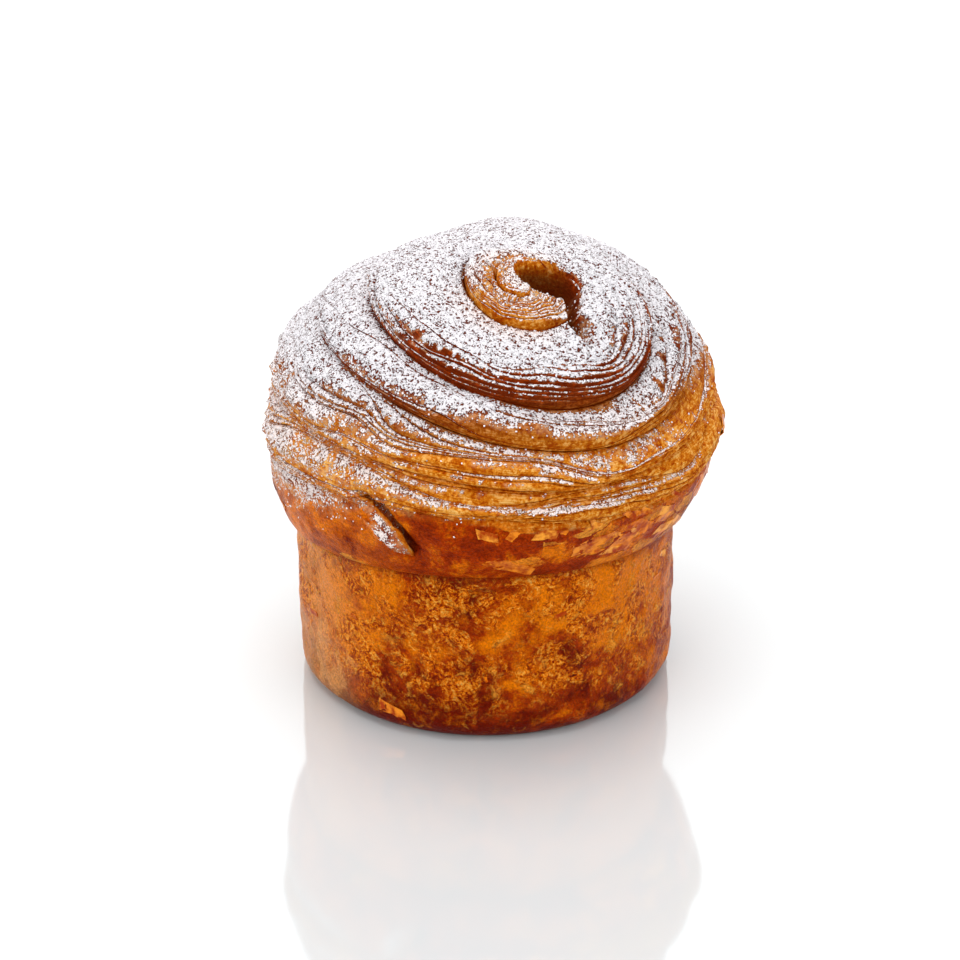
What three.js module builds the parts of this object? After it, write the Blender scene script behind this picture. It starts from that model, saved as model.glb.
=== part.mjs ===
// A laminated brioche roll, baked in a straight-sided ring: millimetres, +Z up.
// The dough is one solid: a round wall, a lip where it rose over the ring, and a domed crown whose rolled
// strip of dough winds outwards and downwards from a hollow near the top. The origin is the middle of the
// flat underside, and -Y is the side that the roll's hollow leans towards.
import * as THREE from "three";

// Driving dimensions
const ringRadius = 37.5; // inside of the baking ring
const footRound = 4.2; // rounded edge at the bottom
const lipFront = 35.8; // height of the lip above the table at the front
const lipSide = 32.4; // and at both sides
const lipWave = 0.5; // how unevenly it runs at the sides and behind
const lipRadius = 38.4; // where the crown starts, just over the wall
const underCurve = 0.8; // roundness of the crown's underside: 1 is an arc
const crownRadius = 44; // widest part of the crown
const crownHeight = 50; // height of that widest part
const crownTop = 90.5; // height of the dome, without its folds
const crownShift = 1.2; // the crown leans this far towards +X
const lipShift = -0.5; // and its lip the other way
const poleX = 6; // the spiral's centre, from the crown's axis
const poleY = -18;
const hip = { x: -9, y: 13, size: 13, depth: 2.5 }; // the crown is lower here, behind on the left

// Slow unevenness: height, and width of one lump
const lobes = { height: 1.1, size: 17 }; // of the crown
const dents = { height: 0.55, size: 9 }; // of the wall
const ridges = { height: 0.75, turn: 38, count: 4.4 }; // of the layers: degrees along them, number across a turn

// Stretches over which folds come in or fade out, along the way from the spiral's centre
const centreFade = 2.5; // folds begin
const ridgeStart = 8; // layers begin
const ridgeFade = 5;
const skinFade = 3; // layers end, below the last seam
const lipFade = 6; // everything ends, above the lip
const swell = 5; // an inner turn's rise behind its round edge

// Mesh density
const columns = 96;
const across = [0, 0.06, 0.24, 0.44, 0.64, 0.82, 0.95]; // rows of points across one turn, closer at the seams
const firstTurn = -1;
const lastTurn = 5;
const wallRows = 8;
const footRows = 3;

const quarter = Math.PI / 2;
const degrees = Math.PI / 180;
const domeRun = crownRadius * quarter; // way from the spiral's centre down to the widest part
const tipAngle = -42; // direction of the roll's inner end, in degrees

// The seam between one turn of the roll and the next: turning angle from the tip, clockwise from above, and
// the way from the spiral's centre. It runs out at the lip, at seamEnd, and joins it once this close.
const seamEnd = 1800;
const seamJoin = 0.2;
const seamPath = [
  [-360, 0], [-310, 4.4], [-160, 5.6], [-80, 7.4], [-45, 11.2], [0, 11.4], [75, 10.4], [170, 11.5], [235, 12.3],
  [345, 30.6], [415, 27.8], [500, 29.5], [600, 34.5], [710, 45.5], [765, 39.8], [825, 39.4], [1075, 57.5],
  [1150, 54.5], [1440, 71.6], [1510, 67.8], [1560, 70], [1800, 82],
];

// How the seam stands open: turning angle, rise of the inner turn, drop to the outer turn, length of the ledge
// below it and width of the inner turn's round edge.
const seamDepth = [
  [-360, 0, 0, 2, 2], [-300, 0.3, 0.8, 1.2, 1.3], [-180, 0.3, 0.8, 1.2, 1.3], [-140, 0, 0, 2, 2],
  [0, 0, 0, 2, 1.5], [40, 1.2, 1.0, 2.2, 1.9], [150, 0.4, 2.8, 1.5, 1.5], [205, 0, 2.2, 1.5, 1.5],
  [240, 0, 0.1, 2, 3], [365, 1.2, 1.9, 4.5, 5], [490, 1.2, 2.4, 5, 5.5], [540, 0.5, 3.2, 7, 4.5],
  [650, 0.2, 1.4, 5, 5], [740, 1.1, 1.4, 1.8, 5], [900, 0.6, 1.0, 3, 3], [1100, 0.7, 1.0, 2.5, 3.5],
  [1440, 0.7, 0.7, 2, 2], [1600, 0.5, 0.4, 2, 2], [1800, 0, 0, 2, 2],
];

// The hollow where the roll's inner end curls away from the next turn: an oval and its narrow tail. Their sides
// slope between the inner and the outer share of the width.
const hollow = { x: 11.8, y: -16.7, long: 6.6, wide: 4.0, turn: -0.15, depth: 7.5, inner: 0.58, outer: 1.08 };
const tail = { fromX: 16, fromY: -18.5, toX: 15.9, toY: -25, wide: 2.2, narrow: 1.05, depth: 5, inner: 0.4, outer: 1 };

// The split in the skin at the left: direction and height of its two ends, how far the skin stands up on one
// side and is sunk on the other, and how wide the bend is.
const split = {
  fromAngle: -124,
  fromHeight: 52.5,
  toAngle: -110,
  toHeight: 40.5,
  drop: 1.1,
  lift: 0.8,
  reach: 5,
  bend: 2.5,
};

const clamp01 = (x) => Math.min(1, Math.max(0, x));
const mix = (a, b, t) => a + (b - a) * t;
const smooth = (from, to, x) => {
  const t = clamp01((x - from) / (to - from));
  return t * t * (3 - 2 * t);
};

// The values of a table at x, on smooth curves through its rows.
function along(table, x) {
  const row = (n) => table[Math.min(table.length - 1, Math.max(0, n))];
  let i = 1;
  while (i < table.length - 1 && table[i][0] < x) i++;
  const [before, a, b, after] = [row(i - 2), row(i - 1), row(i), row(i + 1)];
  const span = b[0] - a[0];
  const t = clamp01((x - a[0]) / span);
  return a.slice(1).map((value, n) => {
    const next = b[n + 1];
    const slopeA = ((next - before[n + 1]) / Math.max(1, b[0] - before[0])) * span;
    const slopeB = ((after[n + 1] - value) / Math.max(1, after[0] - a[0])) * span;
    const bend = (t - 1) ** 2 * t * slopeA + (t - 1) * t * t * slopeB;
    return mix(value, next, t * t * (3 - 2 * t)) + bend;
  });
}

// Smooth noise from -1 to 1, from a fixed value at each corner of a grid.
function corner(i, j, k) {
  const s = Math.sin(i * 127.1 + j * 311.7 + k * 74.7) * 43758.5453;
  return (s - Math.floor(s)) * 2 - 1;
}

function noise(x, y, z) {
  const [i, j, k] = [Math.floor(x), Math.floor(y), Math.floor(z)];
  const [u, v, w] = [x - i, y - j, z - k].map((t) => t * t * (3 - 2 * t));
  let sum = 0;
  for (const [a, share1] of [[0, 1 - u], [1, u]])
    for (const [b, share2] of [[0, 1 - v], [1, v]])
      for (const [c, share3] of [[0, 1 - w], [1, w]]) sum += corner(i + a, j + b, k + c) * share1 * share2 * share3;
  return sum;
}

// Height of the lip in a direction.
function lipAt(angle) {
  const [c, s] = [Math.cos(angle * degrees), Math.sin(angle * degrees)];
  const front = clamp01(-s);
  return mix(lipSide, lipFront, front) + lipWave * noise(3 * c + 20, 3 * s, 0) * (1 - front);
}

// Way of the seam from the spiral's centre, at a turning angle.
function seamRun(theta) {
  const lip = domeRun + crownHeight - lipAt(tipAngle - theta);
  const run = mix(Math.max(0, along(seamPath, theta)[0]), lip, smooth(seamEnd - 180, seamEnd, theta));
  return lip - run < seamJoin ? lip : run;
}

// The seams that cross one direction, for each turn of the roll.
function seamsAt(start) {
  const seams = [];
  for (let turn = firstTurn; turn <= lastTurn; turn++) {
    const theta = start + 360 * turn;
    const [rise, drop, ledge, round] = along(seamDepth, theta);
    seams.push({ run: seamRun(theta), rise, drop, ledge, round });
  }
  return seams;
}

// Height of the rolled turns over the plain dome. Each turn has a round edge that drops onto the next one.
function rollHeight(run, seams) {
  let height = 0;
  for (const seam of seams) {
    const past = run - seam.run;
    if (past > 0) height -= seam.drop * Math.exp(-past / seam.ledge);
    else if (past > -seam.round)
      height += (seam.rise + seam.drop) * Math.sqrt(1 - ((past + seam.round) / seam.round) ** 2) - seam.drop;
    else height += seam.rise * Math.exp(-(((past + seam.round) / swell) ** 2));
  }
  return height;
}

function hollowDepth(x, y) {
  const [c, s] = [Math.cos(hollow.turn), Math.sin(hollow.turn)];
  const [dx, dy] = [x - hollow.x, y - hollow.y];
  const oval = Math.hypot((dx * c + dy * s) / hollow.long, (dy * c - dx * s) / hollow.wide);
  const length = tail.toY - tail.fromY;
  const share = clamp01((y - tail.fromY) / length);
  const middle = mix(tail.fromX, tail.toX, share);
  const slot = Math.hypot(x - middle, y - (tail.fromY + length * share)) / mix(tail.wide, tail.narrow, share);
  return Math.max(
    hollow.depth * (1 - smooth(hollow.inner, hollow.outer, oval)),
    tail.depth * (1 - smooth(tail.inner, tail.outer, slot)),
  );
}

// The split: the skin on its left stands up as a flap, and the dough on its right is sunk.
function splitHeight(x, y, z) {
  const down = (split.fromHeight - z) / (split.fromHeight - split.toHeight);
  const line = mix(split.fromAngle, split.toAngle, down);
  const beside = (Math.atan2(y, x) / degrees - line) * degrees * crownRadius;
  const ends = smooth(-0.3, 0.2, down) * (1 - smooth(0.8, 1.3, down));
  const fade = ends * Math.exp(-((beside / split.reach) ** 2));
  return fade * mix(split.lift, -split.drop, smooth(-split.bend, split.bend, beside));
}

// The plain crown without its folds: a place and the direction that faces out of it.
function crownPlace(run, angle) {
  const [c, s] = [Math.cos(angle * degrees), Math.sin(angle * degrees)];
  if (run > domeRun) {
    const share = clamp01((run - domeRun) / (crownHeight - lipAt(angle)));
    const radius = mix(lipRadius, crownRadius, Math.sin(quarter * (1 - share)) ** underCurve);
    const shift = mix(crownShift, lipShift, share);
    const place = new THREE.Vector3(shift + radius * c, radius * s, crownHeight + domeRun - run);
    return { place, out: new THREE.Vector3(c, s, 0) };
  }
  const height = crownTop - crownHeight;
  const reach = crownRadius * Math.sin(run / crownRadius);
  const inward = 1 - (reach / crownRadius) ** 2;
  const x = poleX * inward + reach * c;
  const y = poleY * inward + reach * s;
  const up = height * Math.sqrt(Math.max(0, 1 - (x * x + y * y) / crownRadius ** 2));
  const out = new THREE.Vector3(x / crownRadius ** 2, y / crownRadius ** 2, up / height ** 2).normalize();
  return { place: new THREE.Vector3(x + crownShift, y, crownHeight + up), out };
}

// A point of the crown. Run is the way from the spiral's centre, start the turning angle within a turn, and
// turn and part say which turn of the roll it is on and how far across it.
function crownPoint(run, start, turn, part) {
  const { place, out } = crownPlace(run, tipAngle - start);
  const { x, y, z } = place;
  const seams = seamsAt(start);
  const lip = seams[seams.length - 1].run;
  const skin = seams[seams.length - 2].run; // the layers show only above the last seam
  const theta = start + 360 * turn;
  const layered = smooth(ridgeStart, ridgeStart + ridgeFade, run) * (1 - smooth(0, skinFade, run - skin));
  const lift =
    rollHeight(run, seams.slice(0, -1)) * smooth(0, centreFade, run) +
    lobes.height * noise(x / lobes.size + 3, y / lobes.size, z / lobes.size) +
    ridges.height * layered * 4 * part * (1 - part) * noise(part * ridges.count, theta / ridges.turn, 0.5) +
    splitHeight(x, y, z) -
    hip.depth * Math.exp(-(((x - hip.x) / hip.size) ** 2) - ((y - hip.y) / hip.size) ** 2);
  return place.addScaledVector(out, lift * (1 - smooth(lip - lipFade, lip, run)) - hollowDepth(x, y));
}

// A point of the wall at a height above the table, under the lip.
function wallPoint(z, angle) {
  const [c, s] = [Math.cos(angle * degrees), Math.sin(angle * degrees)];
  const near = smooth(0, footRound, z) * (1 - smooth(lipAt(angle) - 2, lipAt(angle), z));
  const lump = noise((ringRadius * c) / dents.size + 40, (ringRadius * s) / dents.size, z / dents.size);
  const radius = ringRadius + near * dents.height * lump;
  return new THREE.Vector3(radius * c, radius * s, z);
}

function footPoint(share, angle) {
  const radius = ringRadius - footRound * (1 - Math.cos(share * quarter));
  const z = footRound * (1 - Math.sin(share * quarter));
  return new THREE.Vector3(radius * Math.cos(angle * degrees), radius * Math.sin(angle * degrees), z);
}

// One column of points from the spiral's centre down to the middle of the underside.
function columnOf(start) {
  const angle = tipAngle - start;
  const points = [];
  for (let turn = firstTurn; turn <= lastTurn; turn++)
    for (const part of across) {
      const theta = start + 360 * turn;
      const run = mix(seamRun(theta - 360), seamRun(theta), part);
      points.push(crownPoint(run, start, turn, part));
    }
  points.push(crownPlace(seamRun(start + 360 * lastTurn), angle).place);
  const below = lipAt(angle) - 0.3;
  for (let i = 0; i < wallRows; i++) points.push(wallPoint(mix(below, footRound, i / wallRows), angle));
  for (let i = 0; i <= footRows; i++) points.push(footPoint(i / footRows, angle));
  points.push(new THREE.Vector3(0, 0, 0));
  return points;
}

const grid = [];
for (let column = 0; column < columns; column++) grid.push(columnOf((360 * column) / columns));
const crownRows = across.length * (lastTurn - firstTurn + 1);

// The point at a row of the column after this one. The crown's rows keep to the turns of the roll, so a row that
// leaves the last column goes on one turn further out in the first.
function besides(column, row) {
  if (column < columns - 1) return grid[column + 1][row];
  if (row < crownRows) return grid[0][Math.min(row + across.length, crownRows)];
  return grid[0][row];
}

// Triangles between the columns. Rows that meet, at the spiral's centre and at the lip, give none.
const corners = [];
const same = (a, b) => a.distanceTo(b) < 0.002;
function addTriangle(a, b, c) {
  if (!same(a, b) && !same(b, c) && !same(c, a)) corners.push(a, b, c);
}
for (let column = 0; column < columns; column++)
  for (let row = 0; row < grid[column].length - 1; row++) {
    const [upper, lower] = [grid[column][row], grid[column][row + 1]];
    const [upperNext, lowerNext] = [besides(column, row), besides(column, row + 1)];
    addTriangle(upper, lowerNext, lower);
    addTriangle(upper, upperNext, lowerNext);
  }
const dough = new THREE.BufferGeometry().setFromPoints(corners);
dough.computeVertexNormals();

const group = new THREE.Group();
const crust = new THREE.MeshStandardMaterial({ color: 0xb8651b, roughness: 0.55, metalness: 0 });
const brioche = new THREE.Mesh(dough, crust);
brioche.name = "brioche";
group.add(brioche);

export default group;
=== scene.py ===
# Laminated brioche roll: its fine crust, layers, flakes and sugar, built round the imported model.
import math
import random
from types import SimpleNamespace as Values

import bmesh
import bpy
import numpy as np
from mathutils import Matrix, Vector
from mathutils.bvhtree import BVHTree


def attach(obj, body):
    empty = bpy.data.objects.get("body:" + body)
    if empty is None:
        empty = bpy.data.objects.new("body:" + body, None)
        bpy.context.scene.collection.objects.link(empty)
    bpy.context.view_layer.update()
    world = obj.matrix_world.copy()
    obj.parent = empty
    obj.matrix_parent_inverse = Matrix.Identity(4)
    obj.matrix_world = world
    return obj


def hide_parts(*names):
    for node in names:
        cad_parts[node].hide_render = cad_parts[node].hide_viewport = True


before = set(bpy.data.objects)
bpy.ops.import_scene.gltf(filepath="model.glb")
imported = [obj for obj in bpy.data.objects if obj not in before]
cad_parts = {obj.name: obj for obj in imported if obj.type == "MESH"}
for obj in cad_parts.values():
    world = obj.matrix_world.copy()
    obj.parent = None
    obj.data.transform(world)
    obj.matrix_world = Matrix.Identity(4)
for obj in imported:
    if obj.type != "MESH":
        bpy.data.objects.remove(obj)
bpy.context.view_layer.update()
mm = 0.001

# The dough's form, in millimetres: the same values as the solid has.
form = Values(
    ringRadius=37.5,  # straight wall
    footRound=4.2,
    lipFront=35.8,  # height of the lip at the front, and at the sides
    lipSide=32.4,
    lipWave=0.5,
    lipRadius=38.4,
    lipShift=-0.5,
    underCurve=0.8,  # roundness of the crown's underside
    crownRadius=44.0,
    crownHeight=50.0,  # height of the widest part
    crownTop=90.5,
    crownShift=1.2,
    poleX=6.0,  # the spiral's centre, from the crown's axis
    poleY=-18.0,
    lobes=(1.1, 17),  # lumps of the crown and of the wall: height and width
    dents=(0.55, 9),
    ridges=(0.75, 38, 4.4),  # broad ridges: height, degrees along them, number across a turn
    tipAngle=-42.0,  # where the roll's inner end points, in degrees
    seamEnd=1800.0,  # turning angle at which the seam runs out into the lip
    seamJoin=0.2,
    firstTurn=-1,
    lastTurn=5,
)
# Stretches over which the folds come in or fade out.
fades = Values(centre=2.5, ridgeStart=8.0, ridge=5.0, skin=3.0, lip=6.0, swell=5.0)
quarter = math.pi / 2
farOut = 70  # millimetres from the axis, past everything
domeRun = form.crownRadius * quarter  # way from the spiral's centre to the widest part

# Turning angle from the tip, clockwise from above, and way from the spiral's centre.
seamPath = np.array([
    (-360, 0), (-310, 4.4), (-160, 5.6), (-80, 7.4), (-45, 11.2), (0, 11.4), (75, 10.4), (170, 11.5),
    (235, 12.3), (345, 30.6), (415, 27.8), (500, 29.5), (600, 34.5), (710, 45.5), (765, 39.8),
    (825, 39.4), (1075, 57.5), (1150, 54.5), (1440, 71.6), (1510, 67.8), (1560, 70), (1800, 82),
], float)

# Turning angle, rise of the inner turn, drop to the outer one, length of the ledge, width of the round edge.
seamDepth = np.array([
    (-360, 0, 0, 2, 2), (-300, 0.3, 0.8, 1.2, 1.3), (-180, 0.3, 0.8, 1.2, 1.3), (-140, 0, 0, 2, 2),
    (0, 0, 0, 2, 1.5), (40, 1.2, 1.0, 2.2, 1.9), (150, 0.4, 2.8, 1.5, 1.5), (205, 0, 2.2, 1.5, 1.5),
    (240, 0, 0.1, 2, 3), (365, 1.2, 1.9, 4.5, 5), (490, 1.2, 2.4, 5, 5.5), (540, 0.5, 3.2, 7, 4.5),
    (650, 0.2, 1.4, 5, 5), (740, 1.1, 1.4, 1.8, 5), (900, 0.6, 1.0, 3, 3), (1100, 0.7, 1.0, 2.5, 3.5),
    (1440, 0.7, 0.7, 2, 2), (1600, 0.5, 0.4, 2, 2), (1800, 0, 0, 2, 2),
], float)

hollow = Values(x=11.8, y=-16.7, long=6.6, wide=4.0, turn=-0.15, depth=7.5, inner=0.58, outer=1.08)
tail = Values(
    fromX=16.0, fromY=-18.5, toX=15.9, toY=-25.0, wide=2.2, narrow=1.05, depth=5.0, inner=0.4, outer=1.0,
)
hip = Values(x=-9.0, y=13.0, size=13.0, depth=2.5)
split = Values(
    fromAngle=-124.0, fromHeight=52.5, toAngle=-110.0, toHeight=40.5, drop=1.1, lift=0.8, reach=5.0,
    bend=2.5, begins=(-0.3, 0.2), ends=(0.8, 1.3),
)

# The dark gap along the split, which only this script makes.
slit = Values(
    fromAngle=-122.5, fromHeight=52.0, toAngle=-108.5, toHeight=40.0, bow=2.5, depth=2.4, shallower=0.5,
    begins=(-0.1, 0.15), ends=(0.75, 1.05), nearSide=(-0.9, 0.2), farSide=(0.5, 3.2),
)


def mix(a, b, t):
    return a + (b - a) * t


def smooth(low, high, x):
    t = np.clip((x - low) / (high - low), 0, 1)
    return t * t * (3 - 2 * t)


def hump(x, width):  # 1 at zero, fading to both sides
    return np.exp(-((x / width) ** 2))


def within(x, begins, ends):  # 1 between two soft steps
    return smooth(*begins, x) * (1 - smooth(*ends, x))


def offFrom(angle, middle):  # degrees from a direction, the short way round
    return (angle - middle + 180) % 360 - 180


def along(table, x, column=1):  # value of a table's column, on a smooth curve through its rows
    xs, ys = table[:, 0], table[:, column]
    last = len(xs) - 1
    i = np.clip(np.searchsorted(xs, x, side="left"), 1, last)
    before, after = np.maximum(i - 2, 0), np.minimum(i + 1, last)
    span = xs[i] - xs[i - 1]
    t = np.clip((x - xs[i - 1]) / span, 0, 1)
    slopeA = (ys[i] - ys[before]) / np.maximum(1, xs[i] - xs[before]) * span
    slopeB = (ys[after] - ys[i - 1]) / np.maximum(1, xs[after] - xs[i - 1]) * span
    bend = (t - 1) ** 2 * t * slopeA + (t - 1) * t * t * slopeB
    return mix(ys[i - 1], ys[i], t * t * (3 - 2 * t)) + bend


def corner(i, j, k):
    s = np.sin(i * 127.1 + j * 311.7 + k * 74.7) * 43758.5453
    return (s - np.floor(s)) * 2 - 1


def noise(x, y, z):  # smooth, from -1 to 1
    x, y, z = np.broadcast_arrays(np.asarray(x, float), np.asarray(y, float), np.asarray(z, float))
    i, j, k = np.floor(x), np.floor(y), np.floor(z)
    u, v, w = [t * t * (3 - 2 * t) for t in (x - i, y - j, z - k)]
    total = 0
    for a, shareA in ((0, 1 - u), (1, u)):
        for b, shareB in ((0, 1 - v), (1, v)):
            for c, shareC in ((0, 1 - w), (1, w)):
                total = total + corner(i + a, j + b, k + c) * shareA * shareB * shareC
    return total


def lipAt(angle):  # height of the lip in a direction
    turned = np.radians(angle)
    front = np.clip(-np.sin(turned), 0, 1)
    wave = form.lipWave * noise(3 * np.cos(turned) + 20, 3 * np.sin(turned), 0)
    return mix(form.lipSide, form.lipFront, front) + wave * (1 - front)


def seamRun(theta):  # way of the seam from the spiral's centre
    lip = domeRun + form.crownHeight - lipAt(form.tipAngle - theta)
    joined = smooth(form.seamEnd - 180, form.seamEnd, theta)
    run = mix(np.maximum(0, along(seamPath, theta)), lip, joined)
    return np.where(lip - run < form.seamJoin, lip, run)


def rollHeight(run, start):  # each turn has a round edge that drops onto the next one
    height = np.zeros_like(run)
    for turn in range(form.firstTurn, form.lastTurn):
        theta = start + 360 * turn
        rise, drop, ledge, edge = [along(seamDepth, theta, n) for n in (1, 2, 3, 4)]
        past = run - seamRun(theta)
        onLedge = -drop * np.exp(-np.maximum(past, 0) / ledge)
        inEdge = np.clip((past + edge) / edge, 0, 1)
        onEdge = (rise + drop) * np.sqrt(1 - inEdge**2) - drop
        behind = rise * hump(past + edge, fades.swell)
        height += np.where(past > 0, onLedge, np.where(past > -edge, onEdge, behind))
    return height


def hollowDepth(x, y):
    c, s = math.cos(hollow.turn), math.sin(hollow.turn)
    dx, dy = x - hollow.x, y - hollow.y
    oval = np.hypot((dx * c + dy * s) / hollow.long, (dy * c - dx * s) / hollow.wide)
    length = tail.toY - tail.fromY
    share = np.clip((y - tail.fromY) / length, 0, 1)
    wide = mix(tail.wide, tail.narrow, share)
    slot = np.hypot(x - mix(tail.fromX, tail.toX, share), y - (tail.fromY + length * share)) / wide
    return np.maximum(hollow.depth * (1 - smooth(hollow.inner, hollow.outer, oval)),
                      tail.depth * (1 - smooth(tail.inner, tail.outer, slot)))


def splitHeight(x, y, z):  # a flap on the left of the split, sunken dough on its right
    down = (split.fromHeight - z) / (split.fromHeight - split.toHeight)
    line = mix(split.fromAngle, split.toAngle, down)
    beside = np.radians(np.degrees(np.arctan2(y, x)) - line) * form.crownRadius
    fade = within(down, split.begins, split.ends) * hump(beside, split.reach)
    return fade * mix(split.lift, -split.drop, smooth(-split.bend, split.bend, beside))


def slitLine(down):  # direction of the slit, from its top to its foot
    return mix(slit.fromAngle, slit.toAngle, down) + slit.bow * (0.25 - (down - 0.5) ** 2) * 4


def slitDepth(x, y, z):  # the dark gap beside the flap
    down = (slit.fromHeight - z) / (slit.fromHeight - slit.toHeight)
    beside = np.radians(np.degrees(np.arctan2(y, x)) - slitLine(down)) * form.crownRadius
    share = within(down, slit.begins, slit.ends) * within(beside, slit.nearSide, slit.farSide)
    return slit.depth * share * (1 - slit.shallower * down)


def crownPlace(run, angle):  # the plain crown: places, and the directions that face out of it
    c, s = np.cos(np.radians(angle)), np.sin(np.radians(angle))
    radius, top = form.crownRadius, form.crownTop - form.crownHeight
    # below the widest part
    share = np.clip((run - domeRun) / (form.crownHeight - lipAt(angle)), 0, 1)
    sideRadius = mix(form.lipRadius, radius, np.sin(quarter * (1 - share)) ** form.underCurve)
    shift = mix(form.crownShift, form.lipShift, share)
    side = np.stack([shift + sideRadius * c, sideRadius * s, form.crownHeight + domeRun - run], -1)
    sideOut = np.stack(np.broadcast_arrays(c, s, 0 * run), -1)
    # above it
    reach = radius * np.sin(np.minimum(run, domeRun) / radius)
    inward = 1 - (reach / radius) ** 2
    x, y = form.poleX * inward + reach * c, form.poleY * inward + reach * s
    up = top * np.sqrt(np.maximum(0, 1 - (x * x + y * y) / radius**2))
    dome = np.stack([x + form.crownShift, y, form.crownHeight + up], -1)
    domeOut = np.stack([x / radius**2, y / radius**2, up / top**2], -1)
    domeOut /= np.linalg.norm(domeOut, axis=-1, keepdims=True)
    below = (run > domeRun)[..., None]
    return np.where(below, side, dome), np.where(below, sideOut, domeOut)


# The sugar was sifted from above, a little from the left.
dusting = Values(
    lean=(-0.12, 0.04, 0.95),
    facing=(0.36, 0.8),  # where sugar begins, and where it covers everything
    tilts=(0, 25, 25, 25, 25, 45, 45, 45, 45),  # degrees off upright of falling grains
    fall=12.0,  # a fold this near above a point shades it
    broad=0.56,  # share of the broad form, against the single layers
    ledges=1.5,  # and on the ledges of single layers lower down
    ledgeFacing=(0.3, 0.6),  # how far a layer and the broad form there face the sugar
    ledgeSlope=(-0.5, 0),
    atRight=0.9,  # less of it at the right: amount, direction, width and heights
    rightAngle=-20.0,
    rightWidth=42.0,
    rightHeights=(72, 63),
    patchy=0.12,
    patchSize=9.0,
    inHollow=0.75,  # less of it down in the hollow, and in the creases
    inCrease=0.5,
    crisp=0.6,  # how sharply the thick sugar ends
    most=0.95,
    rollX=6.0,  # less of it stayed on the roll's inner end
    rollY=-19.0,
    rollEdge=(6, 9),
    onRoll=0.97,
    upper=(58, 72),  # heights over which the folds turn dark; the roll's inner end stays paler
    rollGold=0.8,
    goldEdge=(11, 8),
    veil=1.0,  # thin veil on the skin at the left: amount, direction, width, heights
    veilAngle=-156.0,
    veilWidth=36.0,
    veilHeights=(34, 47),
)
# Share of the skin that peeled: least, more of it, and where that is.
flaky = Values(least=0.06, more=0.36, angle=-38, width=34)
dustFrom = np.array(dusting.lean) / np.linalg.norm(dusting.lean)

# The crown's fine mesh: its rows follow every layer of the cut dough.
leaf = Values(
    columns=(200, 100),  # over the front, and over the rest
    front=(-32, 128),  # turning angles of the front
    inset=0.45,  # the layers lie this much lower, so that their edges keep to the outline
    # rows across a layer: share of its width, most millimetres from the nearer crease, share of the relief
    rows=((0.0, 0.0, -0.9), (0.15, 0.22, 0.3), (0.38, 0.8, 0.85), (0.66, 9.0, 1.0), (0.9, 0.3, 0.45)),
    relief=0.34,  # for each millimetre of a layer's width, and at most
    mostRelief=1.15,
    filled=0.82,  # share of it that thick sugar hides
    rollRelief=0.35,  # more of it on the roll's inner end
    # fewer, deeper layers at the left
    bold=Values(theta=118.0, width=50.0, relief=0.6, pairs=(1.7, 0.3)),
    spread=((38, 1.0), (18, 0.5)),  # unevenness of the widths: degrees along the roll, and strength
    lenses=(34, 2.6),  # more of it further out: layers swell and run out like lenses
    sway=(30, 0.2),  # they sway together: degrees along, and share of a turn's width
    outer=(560, 760),  # turning angles over which the lenses and the sway come in
    even=(25, 0.3),  # less of it at the front: degrees to each side, and strength
    # unevenness along each layer: level, swing, and degrees along
    strength=(0.8, 0.4, 17),
    line=(0.9, 1.5, 11),
    fray=(1, 0.5, 1.9),
    lumps=((2.7, 0.22), (1.1, 0.1)),  # of the surface: size and height
    lumpsOnRoll=0.3,
    # stretches over which the layers end: at the skin, the hollow, the centre and the inner end
    skinFade=(0, 2),
    hollowFade=(0.3, 1.5),
    centreFade=(2, 6),
    rollFade=(7, 10),
    filledFade=(0.58, 0.84),  # how far the broad form faces the sugar where it fills the layers
)
# Widths of each turn's layers at the front, from its inner to its outer seam.
frontLeaves = {
    -1: (1, 1, 1, 1, 1, 1, 1, 1, 1),
    0: (2.6, 0.5, 1.8, 0.5, 1.7, 1.3, 0.4, 1.2, 0.9),
    1: (5, 2, 1.6, 1.2, 1, 0.9, 0.8, 0.7, 0.9),
    2: (3.6, 0.7, 0.6, 0.5, 4.6, 0.6, 0.5, 0.5, 0.5),
    3: (0.7, 0.6, 0.6, 3.4, 0.6, 0.5, 3.0, 0.6, 1.4),
    4: (0.6, 2.4, 0.5, 0.5, 3.6, 0.7, 1.4, 0.6, 0.8),
    5: (1, 1, 1, 1, 1, 1, 1, 1, 1),
}
leafCount = len(frontLeaves[0])
rowsPerTurn = leafCount * len(leaf.rows)
frontTheta = (form.tipAngle + 90) % 360
leafTable = np.array([(frontTheta + 360 * turn, *widths) for turn, widths in frontLeaves.items()], float)


def boldness(theta):
    return hump(offFrom(theta, leaf.bold.theta), leaf.bold.width)


def leafEdges(theta):  # shares of a turn's width at which its layers begin and end
    widths = []
    outer = smooth(*leaf.outer, theta)
    evenSpan, evenStrength = leaf.even
    front = hump(offFrom(theta, frontTheta), evenSpan)
    for n in range(leafCount):
        pair = mix(1, leaf.bold.pairs[n % 2], boldness(theta))
        uneven = sum(strength * noise(theta / span, n * 3.7, span) for span, strength in leaf.spread)
        span, strength = leaf.lenses
        uneven = uneven + strength * outer * noise(theta / span, n * 2.9 + 5, 3.1)
        width = np.maximum(0.15, along(leafTable, theta, n + 1)) * pair
        widths.append(width * np.exp(uneven * (1 - evenStrength * front)))
    edges = np.concatenate([0 * theta] + widths, axis=1).cumsum(axis=1)
    edges = edges / edges[:, -1:]
    span, share = leaf.sway
    sway = share * outer * noise(theta / span, edges * 1.2, 8.3)
    return edges + sway * 4 * edges * (1 - edges)


def skinRun(start):  # way to where the smooth skin begins, under the last layers
    last, before = seamRun(start + 1440), seamRun(start + 1080)
    return mix(last, before, smooth(200, 320, start))


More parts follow.
